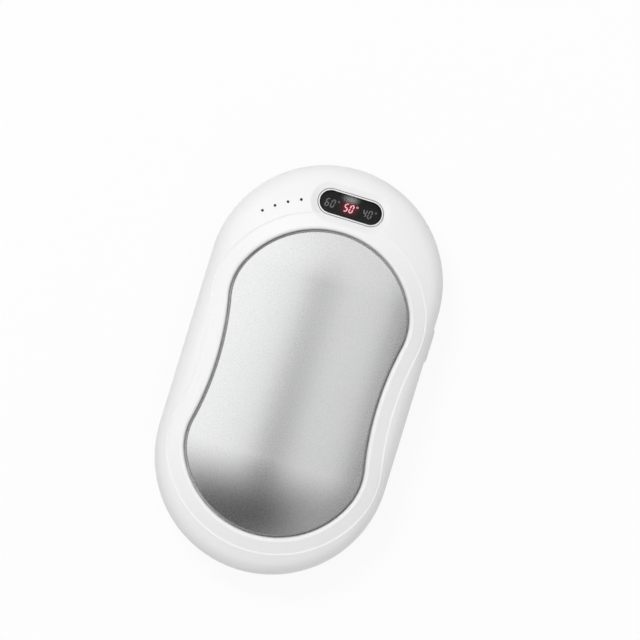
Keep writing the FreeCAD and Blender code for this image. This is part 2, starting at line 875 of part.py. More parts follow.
def positive_lead():
    y = cell_top_y + strap_thickness
    return lead(0, y, cell_z - short_lead_bend, board_z, lead_diameter, short_lead_bend, seat_gap)


def negative_lead():
    over_strap = cell_z + strap_width / 2 + short_lead_bend
    z = max(board_top + lead_diameter / 2, over_strap) + seat_gap
    y = cell_bottom_y - strap_thickness - lead_diameter / 2 - seat_gap
    foot = Vec(0, y, cell_z)
    knee = Vec(0, y, z - short_lead_bend)
    turn = short_lead_bend * math.sin(math.pi / 4)
    middle = Vec(0, y + short_lead_bend - turn, z - short_lead_bend + turn)
    over = Vec(0, y + short_lead_bend, z)
    end = Vec(0, board_edge + boss_diameter / 2, z)
    curve = Part.Arc(knee, middle, over).toShape()
    path = Part.Wire([Part.makeLine(foot, knee), curve, Part.makeLine(over, end)])
    ring = Part.Wire(Part.makeCircle(lead_diameter / 2, foot, Vec(0, 0, 1)))
    return path.makePipeShell([ring], True, False)


def nodes():
    front_heater = front_plate_back + heater_thickness
    rear_heater = rear_plate_back + heater_thickness
    yield "front_shell", front_shell()
    yield "rear_shell", rear_shell()
    yield "front_heat_plate", heat_plate(front_skin, front_plate_top, front_plate_back)
    yield "rear_heat_plate", heat_plate(rear_skin, rear_plate_top, rear_plate_back)
    yield "front_plate_adhesive", adhesive_ring(front_skin, front_plate_back)
    yield "rear_plate_adhesive", adhesive_ring(rear_skin, rear_plate_back)
    yield "front_heater_film", heater_film(front_skin, front_plate_back)
    yield "rear_heater_film", heater_film(rear_skin, rear_plate_back)
    yield "front_insulation_pad", insulation_pad(front_skin, front_heater, front_pad_back)
    yield "rear_insulation_pad", insulation_pad(rear_skin, rear_heater, rear_pad_back)
    yield "left_cell", battery_cell(-cell_x)
    yield "right_cell", battery_cell(cell_x)
    yield "top_cell_strap", cell_strap(cell_top_y, 1)
    yield "bottom_cell_strap", cell_strap(cell_bottom_y, -1)
    yield "battery_cradle", battery_cradle()
    yield "main_board", main_board()
    yield "charge_controller", charge_controller()
    yield "power_inductor", power_inductor()
    yield "board_capacitors", board_capacitors()
    yield "charge_port", charge_port()
    yield "charge_port_tongue", charge_port_tongue()
    yield "display_bezel", display_bezel()
    yield "display_window", display_window()
    yield "display_module", display_module()
    yield "lit_segments", segments([("50", 0)])
    yield "unlit_segments", segments([("60", -group_pitch), ("40", group_pitch)])
    yield "battery_light_guide", battery_light_guide()
    yield "battery_leds", battery_leds()
    yield "power_button", power_button()
    yield "switch_body", switch_body()
    yield "switch_plunger", switch_plunger()
    yield "case_screws", case_screws()
    yield "front_heater_leads", front_heater_leads()
    yield "rear_heater_leads", rear_heater_leads()
    yield "heat_sensor", heat_sensor()
    yield "positive_lead", positive_lead()
    yield "negative_lead", negative_lead()


os.makedirs("parts", exist_ok=True)
for name, shape in nodes():
    shape.exportStep("parts/" + name + ".step")
    print(name, len(shape.Solids), round(shape.Volume), shape.isValid())
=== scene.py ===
import bpy
import math
from mathutils import Matrix, Vector


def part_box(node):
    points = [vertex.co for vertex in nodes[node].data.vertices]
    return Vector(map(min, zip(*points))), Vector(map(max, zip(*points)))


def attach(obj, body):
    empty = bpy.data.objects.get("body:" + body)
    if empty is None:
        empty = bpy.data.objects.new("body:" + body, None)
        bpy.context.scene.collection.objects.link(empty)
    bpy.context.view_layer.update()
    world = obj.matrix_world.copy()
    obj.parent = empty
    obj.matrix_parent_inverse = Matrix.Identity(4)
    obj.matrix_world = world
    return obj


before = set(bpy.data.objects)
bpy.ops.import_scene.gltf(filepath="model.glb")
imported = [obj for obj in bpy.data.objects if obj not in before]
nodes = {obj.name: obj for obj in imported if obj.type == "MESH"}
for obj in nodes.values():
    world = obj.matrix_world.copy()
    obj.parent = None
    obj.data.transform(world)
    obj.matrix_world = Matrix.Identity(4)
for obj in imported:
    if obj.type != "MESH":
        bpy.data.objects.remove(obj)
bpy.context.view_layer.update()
bpy.ops.object.select_all(action="DESELECT")
print("frame loaded,", len(nodes), "nodes")


# Node helpers for the materials, the shared groups and the world

mixInputs = (0, 6, 7)       # factor and the two colours of a colour mix
mixOutput = 2


def addNode(tree, kind, x, y, **values):
    node = tree.nodes.new(kind)
    node.location = (x, y)
    for name, value in values.items():
        setattr(node, name, value)
    return node


def feed(tree, socket, value):
    if isinstance(value, bpy.types.NodeSocket):
        tree.links.new(value, socket)
    else:
        socket.default_value = value


def addMath(tree, x, y, operation, *values):
    node = addNode(tree, "ShaderNodeMath", x, y, operation=operation)
    for socket, value in zip(node.inputs, values):
        feed(tree, socket, value)
    return node.outputs["Value"]


def addVector(tree, x, y, operation, *values, output="Vector"):
    node = addNode(tree, "ShaderNodeVectorMath", x, y, operation=operation)
    for socket, value in zip(node.inputs, values):
        feed(tree, socket, value)
    return node.outputs[output]


def addLength(tree, x, y, across, along):
    acrossSquare = addMath(tree, x, y, "POWER", across, 2.0)
    alongSquare = addMath(tree, x, y - 160, "POWER", along, 2.0)
    return addMath(tree, x + 320, y, "SQRT", addMath(tree, x + 160, y, "ADD", acrossSquare, alongSquare))


def addRange(tree, x, y, value, fromPair, toPair, easing="SMOOTHSTEP"):
    node = addNode(tree, "ShaderNodeMapRange", x, y, interpolation_type=easing)
    feed(tree, node.inputs["Value"], value)
    node.inputs["From Min"].default_value, node.inputs["From Max"].default_value = fromPair
    node.inputs["To Min"].default_value, node.inputs["To Max"].default_value = toPair
    return node.outputs["Result"]


def addMix(tree, x, y, factor, first, second):
    node = addNode(tree, "ShaderNodeMix", x, y, data_type="RGBA")
    for index, value in zip(mixInputs, (factor, first, second)):
        feed(tree, node.inputs[index], value)
    return node.outputs[mixOutput]


def addSplit(tree, x, y, vector):
    node = addNode(tree, "ShaderNodeSeparateXYZ", x, y)
    feed(tree, node.inputs["Vector"], vector)
    return node.outputs


def addPlace(tree, x, y, space="Object"):
    return addNode(tree, "ShaderNodeTexCoord", x, y).outputs[space]


def newGroup(name, inputs, outputs):
    group = bpy.data.node_groups.new(name, "ShaderNodeTree")
    for label, kind, value in inputs:
        socket = group.interface.new_socket(name=label, in_out="INPUT", socket_type=kind)
        socket.default_value = value
    for label, kind in outputs:
        group.interface.new_socket(name=label, in_out="OUTPUT", socket_type=kind)
    return group


def newMaterial(name):
    material = bpy.data.materials.new(name)
    material.use_nodes = True
    tree = material.node_tree
    tree.nodes.clear()
    shader = addNode(tree, "ShaderNodeBsdfPrincipled", 300, 0)
    output = addNode(tree, "ShaderNodeOutputMaterial", 600, 0)
    tree.links.new(shader.outputs["BSDF"], output.inputs["Surface"])
    return material, tree, shader


def dress(material, *names):
    for name in names:
        piece = nodes[name]
        piece.data.materials.clear()
        piece.data.materials.append(material)


# Camera: a long lens nearly square on, the body leaning clockwise in the picture

photoView = {
    "lens": 200.0,
    "sensor": 36.0,
    "clip": (0.01, 20),
    "distance": 0.938,
    "target": (0.0015, 0.0142, 0.0128),
    "lean": 17.0,       # degrees
    "tilt": 3.8,        # degrees towards the left side of the body
}


def placeCamera(view):
    tilt, lean = math.radians(view["tilt"]), math.radians(view["lean"])
    back = Vector((-math.sin(tilt), 0, math.cos(tilt)))
    right = Vector((-math.sin(lean), math.cos(lean), 0)).cross(back).normalized()
    up = back.cross(right)
    bpy.ops.object.camera_add(location=Vector(view["target"]) + back * view["distance"])
    camera = bpy.context.object
    camera.rotation_euler = Matrix((right, up, back)).transposed().to_euler()
    camera.data.lens = view["lens"]
    camera.data.sensor_width = view["sensor"]
    camera.data.clip_start, camera.data.clip_end = view["clip"]
    bpy.context.scene.camera = camera


placeCamera(photoView)
bpy.context.scene.view_settings.view_transform = "Standard"
print("camera placed")


# Studio: white table, an overhead diffuser that fades away towards the foot of the body, key and fill lamps

studio = {
    "tableSize": 8.0,
    "tableColour": (0.9, 0.9, 0.9, 1),
    "tableBounce": (0.4, 0.4, 0.4, 1),  # what it throws back at the sides of the body
    "tableRoughness": 0.8,
    "tableWhite": 0.9,              # share of plain white in what the camera sees of the table
    "horizonLevels": (0.25, 1.0),   # the surroundings darken towards the table
    "horizonReach": (0.0, 0.4),
    "mirrorLevels": (0.4, 1.0),     # and less so in what mirrors them
    "mirrorReach": (0.1, 0.6),
    "panelSize": 4.4,
    "panelHeight": 1.3,
    "mirrorLevel": 1.14,            # how much brighter the panel is in what mirrors it
    "sideLevels": (1.115, 0.825),   # left and right of the panel
    "sideReach": (-0.65, 0.4),
    "rightLevels": (0.93, 0.05),    # where the panel ends on the right
    "rightReach": (0.58, 0.88),
    "footLevels": (0.08, 1.0),
    "footReach": (-0.53, -0.02),
    "footSkew": -0.03,              # the fade lies a little lower on the left
    "headLevels": (1.0, 0.35),      # where it ends beyond the display
    "headReach": (0.52, 0.66),
    "gapCentre": (0.05, -0.2),      # darker patch where the camera looks through
    "gapReach": (0.25, 0.65),
    "gapDepth": 0.5,
    "shadeCentre": (-0.05, -0.17),  # and the shade beside it
    "shadeReach": (0.22, 0.26),
    "shadeDepth": 0.55,
    "liftCentre": (0.55, -0.55),    # lighter corner low on the right
    "liftReach": (0.45, 0.35),
    "liftLevel": 0.3,
    "hemCentre": (0.25, -0.74),     # thin light hem at the very foot
    "hemReach": (0.35, 0.16),
    "hemLevel": 0.16,
    "glintCentre": (0.05, 0.747),   # small bright patch that the display window mirrors
    "glintReach": (0.1, 0.036),
    "glintLevel": 4.0,
}
lamps = {
    "key": {"azimuth": 140.0, "height": 58.0, "distance": 1.2, "size": 0.4, "power": 4.5},
    "fill": {"azimuth": -60.0, "height": 50.0, "distance": 1.2, "size": 0.8, "power": 2.0},
}


# A mask that is one in the middle of an ellipse and fades to nothing at its edge
def addSpot(tree, x, y, across, along, centre, reach):
    sides = []
    for axis, middle, width, drop in ((across, centre[0], reach[0], 0), (along, centre[1], reach[1], -160)):
        offset = addMath(tree, x, y + drop, "SUBTRACT", axis, middle)
        sides.append(addMath(tree, x + 160, y + drop, "DIVIDE", offset, width))
    return addRange(tree, x + 800, y, addLength(tree, x + 320, y, *sides), (0.0, 1.0), (1.0, 0.0))


def buildTable(settings):
    bpy.ops.mesh.primitive_plane_add(size=settings["tableSize"], location=(0, 0, 0))
    table = bpy.context.object
    table.name = "studio_table"
    material, tree, shader = newMaterial("whiteTable")
    shader.inputs["Roughness"].default_value = settings["tableRoughness"]
    rays = addNode(tree, "ShaderNodeLightPath", -600, 300).outputs
    colour = addMix(tree, 50, 0, rays["Is Diffuse Ray"], settings["tableColour"], settings["tableBounce"])
    tree.links.new(colour, shader.inputs["Base Color"])
    seen = addMath(tree, -400, 300, "MAXIMUM", rays["Is Camera Ray"], rays["Is Glossy Ray"])
    seen = addMath(tree, -200, 300, "MAXIMUM", seen, rays["Is Transmission Ray"])
    white = addNode(tree, "ShaderNodeEmission", 300, -300)
    mix = addNode(tree, "ShaderNodeMixShader", 450, 0)
    tree.links.new(addMath(tree, 150, 300, "MULTIPLY", seen, settings["tableWhite"]), mix.inputs["Fac"])
    tree.links.new(shader.outputs["BSDF"], mix.inputs[1])
    tree.links.new(white.outputs["Emission"], mix.inputs[2])
    tree.links.new(mix.outputs["Shader"], tree.nodes["Material Output"].inputs["Surface"])
    table.data.materials.append(material)


# The panel's level depends on the way towards it, so that near and far pieces mirror it alike
def buildPanel(settings):
    bpy.ops.mesh.primitive_plane_add(size=settings["panelSize"], location=(0, 0, settings["panelHeight"]))
    bpy.ops.object.transform_apply(location=True)
    panel = bpy.context.object
    panel.name = "studio_panel"
    panel.visible_camera = False
    material, tree, shader = newMaterial("lightPanel")
    tree.nodes.remove(shader)
    way = addVector(tree, -1200, 0, "NORMALIZE", addPlace(tree, -1400, 0))
    parts = addSplit(tree, -1000, 0, way)
    across, along = parts["X"], parts["Y"]
    level = addRange(tree, -700, 300, across, settings["sideReach"], settings["sideLevels"], "LINEAR")
    skewed = addMath(tree, -850, 0, "MULTIPLY_ADD", across, settings["footSkew"], along)
    shares = [
        addRange(tree, -700, 500, across, settings["rightReach"], settings["rightLevels"]),
        addRange(tree, -700, 0, skewed, settings["footReach"], settings["footLevels"]),
        addRange(tree, -700, -200, along, settings["headReach"], settings["headLevels"]),
    ]
    for step, name in enumerate(("gap", "shade")):
        y = -400 - 400 * step
        spot = addSpot(tree, -800, y, across, along, settings[name + "Centre"], settings[name + "Reach"])
        dimmed = (1.0, 1.0 - settings[name + "Depth"])
        shares.append(addRange(tree, 200, y, spot, (0.0, 1.0), dimmed, "LINEAR"))
    for step, share in enumerate(shares):
        level = addMath(tree, -400 + 150 * step, 200, "MULTIPLY", level, share)
    for step, name in enumerate(("lift", "hem", "glint")):
        y = -1200 - 400 * step
        spot = addSpot(tree, -800, y, across, along, settings[name + "Centre"], settings[name + "Reach"])
        added = addMath(tree, 200, y, "MULTIPLY", spot, settings[name + "Level"])
        level = addMath(tree, 400 + 150 * step, 200, "ADD", level, added)
    glossy = addNode(tree, "ShaderNodeLightPath", 300, 500).outputs["Is Glossy Ray"]
    mirrored = addRange(tree, 500, 500, glossy, (0.0, 1.0), (1.0, settings["mirrorLevel"]), "LINEAR")
    glow = addNode(tree, "ShaderNodeEmission", 1000, 0)
    tree.links.new(addMath(tree, 850, 300, "MULTIPLY", level, mirrored), glow.inputs["Strength"])
    tree.links.new(glow.outputs["Emission"], tree.nodes["Material Output"].inputs["Surface"])
    panel.data.materials.append(material)


def lightWorld(settings):
    world = bpy.data.worlds.new("studio")
    bpy.context.scene.world = world
    world.use_nodes = True
    tree = world.node_tree
    sky = tree.nodes["Background"]
    sky.inputs["Color"].default_value = (1, 1, 1, 1)
    height = addSplit(tree, -600, 0, addPlace(tree, -800, 0, "Generated"))["Z"]
    level = addRange(tree, -400, 0, height, settings["horizonReach"], settings["horizonLevels"])
    mirrored = addRange(tree, -400, -300, height, settings["mirrorReach"], settings["mirrorLevels"])
    rays = addNode(tree, "ShaderNodeLightPath", -600, 300).outputs
    plain = addMath(tree, -400, 300, "MAXIMUM", rays["Is Camera Ray"], rays["Is Transmission Ray"])
    mirrored = addMath(tree, -200, -300, "MULTIPLY", mirrored, rays["Is Glossy Ray"])
    level = addMath(tree, -200, 0, "MAXIMUM", level, mirrored)
    tree.links.new(addMath(tree, -50, 0, "MAXIMUM", level, plain), sky.inputs["Strength"])


def addLamp(name, settings):
    turn, rise = math.radians(settings["azimuth"]), math.radians(settings["height"])
    way = Vector((math.cos(turn) * math.cos(rise), math.sin(turn) * math.cos(rise), math.sin(rise)))
    bpy.ops.object.light_add(type="AREA", location=way * settings["distance"])
    lamp = bpy.context.object
    lamp.name = name + "_lamp"
    lamp.data.shape = "DISK"
    lamp.data.size = settings["size"]
    lamp.data.energy = settings["power"]
    lamp.rotation_euler = way.to_track_quat("Z", "Y").to_euler()
    lamp.visible_camera = False
    lamp.visible_glossy = False     # only the panel and the surroundings are mirrored


buildTable(studio)
buildPanel(studio)
lightWorld(studio)
for name, settings in lamps.items():
    addLamp(name, settings)
print("studio lit")


# Grain shared by every moulded, blasted and coated finish: fine speckle for tone, roughness and bump

grainPattern = {"detail": 3.0}


def buildGrain(pattern):
    group = newGroup(
        "fineGrain",
        [
            ("Colour", "NodeSocketColor", (0.8, 0.8, 0.8, 1)),
            ("Tone", "NodeSocketFloat", 0.02),
            ("Scale", "NodeSocketFloat", 3000.0),
            ("Roughness", "NodeSocketFloat", 0.4),
            ("Roughness Swing", "NodeSocketFloat", 0.05),
        ],
        [("Colour", "NodeSocketColor"), ("Roughness", "NodeSocketFloat"), ("Height", "NodeSocketFloat")],
    )
    given = addNode(group, "NodeGroupInput", -900, 0).outputs
    result = addNode(group, "NodeGroupOutput", 600, 0)
    speckle = addNode(group, "ShaderNodeTexNoise", -600, 0)
    speckle.inputs["Detail"].default_value = pattern["detail"]
    group.links.new(addPlace(group, -900, -300), speckle.inputs["Vector"])
    group.links.new(given["Scale"], speckle.inputs["Scale"])
    centred = addMath(group, -350, 0, "SUBTRACT", speckle.outputs["Fac"], 0.5)
    swing = addMath(group, -150, 150, "MULTIPLY", centred, given["Tone"])
    swing = addMath(group, 0, 150, "MULTIPLY_ADD", swing, 2.0, 1.0)     # one, give or take the tone
    toned = addNode(group, "ShaderNodeVectorMath", 200, 150, operation="SCALE")
    group.links.new(given["Colour"], toned.inputs[0])
    group.links.new(swing, toned.inputs["Scale"])
    rough = addMath(group, 0, -100, "MULTIPLY_ADD", centred, given["Roughness Swing"], given["Roughness"])
    group.links.new(toned.outputs["Vector"], result.inputs["Colour"])
    group.links.new(rough, result.inputs["Roughness"])
    group.links.new(speckle.outputs["Fac"], result.inputs["Height"])
    return group


# Handling shared by the parts that are touched: broad faint smudges

smudgePattern = {"detail": 4.0, "distortion": 0.6, "reach": (0.42, 0.75)}


def buildHandling(pattern):
    group = newGroup(
        "handling",
        [
            ("Colour", "NodeSocketColor", (0.8, 0.8, 0.8, 1)),
            ("Soil", "NodeSocketColor", (0.7, 0.68, 0.64, 1)),
            ("Amount", "NodeSocketFloat", 0.05),
            ("Scale", "NodeSocketFloat", 40.0),
        ],
        [("Colour", "NodeSocketColor")],
    )
    given = addNode(group, "NodeGroupInput", -900, 0).outputs
    result = addNode(group, "NodeGroupOutput", 500, 0)
    cloud = addNode(group, "ShaderNodeTexNoise", -600, 0)
    cloud.inputs["Detail"].default_value = pattern["detail"]
    cloud.inputs["Distortion"].default_value = pattern["distortion"]
    group.links.new(addPlace(group, -900, -300), cloud.inputs["Vector"])
    group.links.new(given["Scale"], cloud.inputs["Scale"])
    patch = addRange(group, -350, 0, cloud.outputs["Fac"], pattern["reach"], (0.0, 1.0))
    amount = addMath(group, -100, 0, "MULTIPLY", patch, given["Amount"])
    group.links.new(addMix(group, 150, 0, amount, given["Colour"], given["Soil"]), result.inputs["Colour"])
    return group


# Distance from the edge of a plate's opening, for the painted shade in the gap round the plates and on
# their rolled edges

plateOpening = {
    "gap": 0.0004,          # round the plate
    "endRadius": 0.0248,
    "lobeRadius": 0.016,
    "waistDepth": 0.00205,  # how far the waist lies inside the lobes
}


# A quarter of the outline: an end, a lobe and the waist, each an arc that runs smoothly into the next
def buildGap(outline):
    group = newGroup("plateGap", [], [("Offset", "NodeSocketFloat")])
    result = addNode(group, "NodeGroupOutput", 900, 0)
    low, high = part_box("front_heat_plate")
    middle, half = (low + high) / 2, (high - low) / 2
    lobeHalf, waistDepth = half.x + outline["gap"], outline["waistDepth"]
    endRadius, lobeRadius = outline["endRadius"], outline["lobeRadius"]
    end = Vector((0, half.y + outline["gap"] - endRadius, 0))
    lobe = Vector((lobeHalf - lobeRadius, 0, 0))
    lobe.y = end.y + math.sqrt((endRadius - lobeRadius) ** 2 - lobe.x ** 2)
    waistHalf = lobeHalf - waistDepth
    waistRadius = ((waistHalf - lobe.x) ** 2 + lobe.y ** 2 - lobeRadius ** 2) / (2 * waistDepth)
    waist = Vector((waistHalf + waistRadius, 0, 0))
    centred = addVector(group, -1000, 0, "SUBTRACT", addPlace(group, -1200, 0), middle)
    folded = addVector(group, -800, 0, "ABSOLUTE", centred)
    point = addVector(group, -600, 0, "MULTIPLY", folded, (1, 1, 0))
    fromEnd = addVector(group, -400, 300, "DISTANCE", point, end, output="Value")
    fromLobe = addVector(group, -400, 100, "DISTANCE", point, lobe, output="Value")
    fromWaist = addVector(group, -400, -100, "DISTANCE", point, waist, output="Value")
    outEnd = addMath(group, -200, 300, "SUBTRACT", fromEnd, endRadius)
    outLobe = addMath(group, -200, 100, "SUBTRACT", fromLobe, lobeRadius)
    outWaist = addMath(group, -200, -100, "SUBTRACT", waistRadius, fromWaist)
    offset = outLobe
    # Beyond the line through two arcs' centres, the other arc is the nearer one
    for step, (start, other) in enumerate(((end, outEnd), (waist, outWaist))):
        along = lobe - start
        across = Vector((-along.y, along.x, 0))
        reach = addVector(group, 0, -300 - 200 * step, "DOT_PRODUCT", point, across, output="Value")
        chosen = addMath(group, 200, -300 - 200 * step, "GREATER_THAN", reach, across.dot(start))
        change = addMath(group, 200, 100 - 200 * step, "SUBTRACT", other, outLobe)
        change = addMath(group, 400, 100 - 200 * step, "MULTIPLY", change, chosen)
        offset = addMath(group, 600 + 150 * step, 0, "ADD", offset, change)
    group.links.new(offset, result.inputs["Offset"])
    return group


# Distance from the edge of the display window, for the ring round it and the dish that it lies in

def buildWindowEdge():
    group = newGroup("windowEdge", [], [("Offset", "NodeSocketFloat")])
    result = addNode(group, "NodeGroupOutput", 600, 0)
    low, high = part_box("display_window")
    middle, half = (low + high) / 2, (high - low) / 2
    centred = addVector(group, -1000, 0, "SUBTRACT", addPlace(group, -1200, 0), middle)
    parts = addSplit(group, -800, 0, centred)
    aside = addMath(group, -600, 100, "ABSOLUTE", parts["X"])
    aside = addMath(group, -400, 100, "SUBTRACT", aside, half.x - half.y)
    aside = addMath(group, -200, 100, "MAXIMUM", aside, 0.0)
    distance = addLength(group, 0, 0, aside, parts["Y"])
    group.links.new(addMath(group, 450, 0, "SUBTRACT", distance, half.y), result.inputs["Offset"])
    return group


grainGroup = buildGrain(grainPattern)
handlingGroup = buildHandling(smudgePattern)
gapGroup = buildGap(plateOpening)
edgeGroup = buildWindowEdge()


def addGroup(tree, group, x, y, values):
    node = addNode(tree, "ShaderNodeGroup", x, y, node_tree=group)
    for label, value in values.items():
        feed(tree, node.inputs[label], value)
    return node.outputs


def addGrain(tree, x, y, settings):
    return addGroup(tree, grainGroup, x, y, {
        "Colour": (*settings["colour"], 1),
        "Tone": settings["tone"],
        "Scale": settings["scale"],
        "Roughness": settings["roughness"],
        "Roughness Swing": settings["swing"],
    })


def addBump(tree, y, height, strength, depth):
    bump = addNode(tree, "ShaderNodeBump", 100, y)
    bump.inputs["Strength"].default_value = strength
    bump.inputs["Distance"].default_value = depth
    tree.links.new(height, bump.inputs["Height"])
    return bump


# A finish of one substance: colour, roughness and bump from the shared grain, smudged where it is touched
def grainFinish(name, settings):
    material, tree, shader = newMaterial(name)
    grain = addGrain(tree, -500, 100, settings)
    colour = grain["Colour"]
    if "soil" in settings:
        colour = addGroup(tree, handlingGroup, -250, 250, {
            "Colour": colour,
            "Soil": (*settings["soil"], 1),
            "Amount": settings["soilAmount"],
            "Scale": settings["soilScale"],
        })["Colour"]
    # Painted shade: darker near the edge of a plate's opening, where asked
    if "gapPaintedShade" in settings:
        gap = addGroup(tree, gapGroup, -500, 450, {})["Offset"]
        mask = addRange(tree, -250, 450, gap, settings["gapReach"], settings["gapLevels"])
        colour = addMix(tree, 0, 400, mask, colour, (*settings["gapPaintedShade"], 1))
    bump = addBump(tree, -300, grain["Height"], settings["bump"], settings["depth"])
    if "dishDepth" in settings:
        edge = addGroup(tree, edgeGroup, -500, -500, {})["Offset"]
        dish = addRange(tree, -250, -500, edge, settings["dishReach"], (-settings["dishDepth"], 0.0))
        tree.links.new(addBump(tree, -500, dish, 1.0, 1.0).outputs["Normal"], bump.inputs["Normal"])
    tree.links.new(colour, shader.inputs["Base Color"])
    tree.links.new(grain["Roughness"], shader.inputs["Roughness"])
    tree.links.new(bump.outputs["Normal"], shader.inputs["Normal"])
    shader.inputs["Metallic"].default_value = settings.get("metallic", 0.0)
    return material


# Case: satin white moulding, in front with a bump that deepens the dish round the display

shellFinish = {
    "colour": (0.93, 0.93, 0.93),
    "tone": 0.008,
    "scale": 2600.0,
    "roughness": 0.34,
    "swing": 0.08,
    "bump": 0.05,
    "depth": 0.00002,
    "soil": (0.9, 0.88, 0.85),
    "soilAmount": 0.12,
    "soilScale": 45.0,
}
shellPaintedGapShade = {
    # Painted shade: the shell is darkened grey in the gap round each plate
    "gapPaintedShade": (0.66, 0.66, 0.66),
    "gapReach": (0.00002, 0.0003),  # painted shade on the wall of the opening and the foot of its rounded rim
    "gapLevels": (0.9, 0.0),
}
shellDish = {
    "dishReach": (0.0006, 0.0026),  # from the foot of the dish round the display to its rim
    "dishDepth": 0.0006,
}
dress(grainFinish("frontMoulding", {**shellFinish, **shellPaintedGapShade, **shellDish}), "front_shell")
dress(grainFinish("rearMoulding", {**shellFinish, **shellPaintedGapShade}), "rear_shell")


# Heat plates: bead-blasted aluminium

plateFinish = {
    "colour": (0.79, 0.792, 0.795),
    "tone": 0.2,
    "scale": 3600.0,
    "roughness": 0.27,
    "swing": 0.1,
    "bump": 0.12,
    "depth": 0.00003,
    "metallic": 1.0,
    "soil": (0.72, 0.72, 0.71),
    "soilAmount": 0.1,
    "soilScale": 60.0,
    # Painted shade: the plate's rolled edge is darkened next to the gap
    "gapPaintedShade": (0.28, 0.28, 0.28),
    "gapReach": (-0.0008, -0.0005),  # painted shade on the rolled edge
    "gapLevels": (0.0, 0.85),
}
dress(grainFinish("blastedAluminium", plateFinish), "front_heat_plate", "rear_heat_plate")


# Button: the same white, worn a little smoother

buttonFinish = dict(shellFinish, roughness=0.28, soilAmount=0.2, soilScale=160.0)
dress(grainFinish("whiteButton", buttonFinish), "power_button")


# Display bezel: bright satin ring

bezelFinish = {
    "colour": (0.95, 0.95, 0.95),
    "tone": 0.01,
    "scale": 5000.0,
    "roughness": 0.2,
    "swing": 0.04,
    "bump": 0.02,
    "depth": 0.00001,
    "mask": (0.012, 0.012, 0.013),  # black border under and beside the window
    "maskReach": (0.00006, 0.00012),
    "line": (0.3, 0.3, 0.3),        # painted shade in the fine gap round the ring
    "lineReach": (0.00028, 0.00046),
    "lineLevels": (0.0, 0.9),
}


# The ring is black wherever the window covers it, and painted shade darkens its outer edge in the fine gap
def maskedRing(settings):
    material = grainFinish("brightRing", settings)
    tree = material.node_tree
    socket = tree.nodes["Principled BSDF"].inputs["Base Color"]
    offset = addGroup(tree, edgeGroup, -500, 500, {})["Offset"]
    masked = addRange(tree, -200, 500, offset, settings["maskReach"], (1.0, 0.0))
    colour = addMix(tree, 50, 500, masked, socket.links[0].from_socket, (*settings["mask"], 1))
    # Painted shade: a thin grey line at the ring's outer edge
    paintedShadeLine = addRange(tree, -200, 300, offset, settings["lineReach"], settings["lineLevels"])
    tree.links.new(addMix(tree, 200, 500, paintedShadeLine, colour, (*settings["line"], 1)), socket)
    return material


dress(maskedRing(bezelFinish), "display_bezel")


# Display: smoked window, black light box with a painted red glow round the lit figures, pale unlit figures
# with a painted glow, and red lit ones

windowFinish = {
    "tint": (0.42, 0.42, 0.43),
    "roughness": 0.03,
    "ior": 1.46,
    "smear": 0.05,
    "smearScale": 300.0,
}
boxFinish = {
    "colour": (0.012, 0.012, 0.013),
    "tone": 0.2,
    "scale": 4000.0,
    "roughness": 0.6,
    "swing": 0.1,
    # Painted glow: red emission in a spot on the box round the lit figures
    "glow": (0.30, 0.004, 0.014),
    "paintedGlowShift": -0.0004,
    "paintedGlowReach": (0.0031, 0.0024),
    "paintedGlowLevel": 1.3,
}
figureFinish = {
    "lit": (1.0, 0.22, 0.28),
    "core": (1.0, 0.6, 0.66),
    "litLevel": 2.4,
    "unlit": (0.42, 0.42, 0.43),
    "unlitShade": 0.85,
    # Painted glow: the unlit figures emit a little light to read paler
    "unlitPaintedGlow": 0.6,
    "cellScale": 2200.0,
    "cellReach": (0.35, 0.65),
    "roughness": 0.5,
}


def smokedWindow(settings):
    material, tree, shader = newMaterial("smokedWindow")
    shader.inputs["Base Color"].default_value = (*settings["tint"], 1)
    shader.inputs["Transmission Weight"].default_value = 1.0
    shader.inputs["IOR"].default_value = settings["ior"]
    grain = addGroup(tree, grainGroup, -500, 0, {
        "Scale": settings["smearScale"],
        "Roughness": settings["roughness"],
        "Roughness Swing": settings["smear"],
    })
    tree.links.new(grain["Roughness"], shader.inputs["Roughness"])
    return material


def lightBox(settings):
    material, tree, shader = newMaterial("blackLightBox")
    low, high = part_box("lit_segments")
    middle = (low + high) / 2 + Vector((settings["paintedGlowShift"], 0, 0))
    parts = addSplit(tree, -1000, 0, addPlace(tree, -1200, 0))
    # Painted glow: a red spot of emission round the lit figures
    spot = addSpot(tree, -800, -200, parts["X"], parts["Y"], middle, settings["paintedGlowReach"])
    glow = addMix(tree, 150, -200, spot, (0, 0, 0, 1), (*settings["glow"], 1))
    tree.links.new(glow, shader.inputs["Emission Color"])
    shader.inputs["Emission Strength"].default_value = settings["paintedGlowLevel"]
    grain = addGrain(tree, -300, 200, settings)
    tree.links.new(grain["Colour"], shader.inputs["Base Color"])
    tree.links.new(grain["Roughness"], shader.inputs["Roughness"])
    return material


def figureInk(name, first, second, level, settings):
    material, tree, shader = newMaterial(name)
    cells = addNode(tree, "ShaderNodeTexNoise", -600, 0)
    cells.inputs["Scale"].default_value = settings["cellScale"]
    tree.links.new(addPlace(tree, -900, 0), cells.inputs["Vector"])
    share = addRange(tree, -400, 0, cells.outputs["Fac"], settings["cellReach"], (0.0, 1.0))
    colour = addMix(tree, -200, 0, share, (*first, 1), (*second, 1))
    tree.links.new(colour, shader.inputs["Base Color"])
    tree.links.new(colour, shader.inputs["Emission Color"])
    # Emission: the lit figures' own light, and a painted glow on the unlit ones
    shader.inputs["Emission Strength"].default_value = level
    shader.inputs["Roughness"].default_value = settings["roughness"]
    return material


def litFigures(settings):
    return figureInk("redFigures", settings["lit"], settings["core"], settings["litLevel"], settings)


def unlitFigures(settings):
    # Painted glow: the unlit figures are given emission though they are not lit
    shaded = [settings["unlitShade"] * part for part in settings["unlit"]]
    return figureInk("paleFigures", settings["unlit"], shaded, settings["unlitPaintedGlow"], settings)


